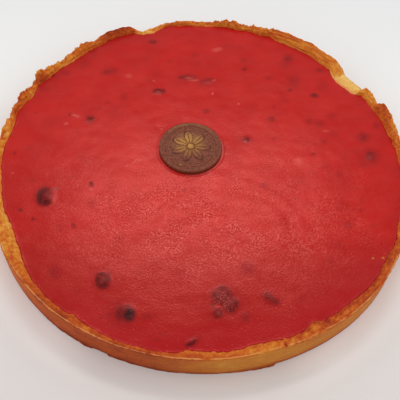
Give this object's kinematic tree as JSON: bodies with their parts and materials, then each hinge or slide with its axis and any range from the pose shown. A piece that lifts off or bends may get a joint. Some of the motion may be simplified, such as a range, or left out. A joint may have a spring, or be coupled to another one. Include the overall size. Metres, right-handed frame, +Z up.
{
  "type": "praline tart",
  "caption": "Round shallow tart: a hand-trimmed shortcrust case filled with set red praline cream, with a thin chocolate disc resting near its middle.",
  "frame": {"origin": "middle of the flat underside of the pastry case", "axes": "+Z up out of the cream, +X to the right and +Y away from someone who faces the tart's front, where the long even stretch of the rim is"},
  "size_m": [0.2618, 0.2621, 0.0251],
  "materials": {
    "shortcrust": null,
    "praline_cream": null,
    "chocolate": null
  },
  "bodies": {
    "root": {"pastry_case": "shortcrust", "praline_cream": "praline_cream", "chocolate_disc": "chocolate"}
  },
  "joints": []
}
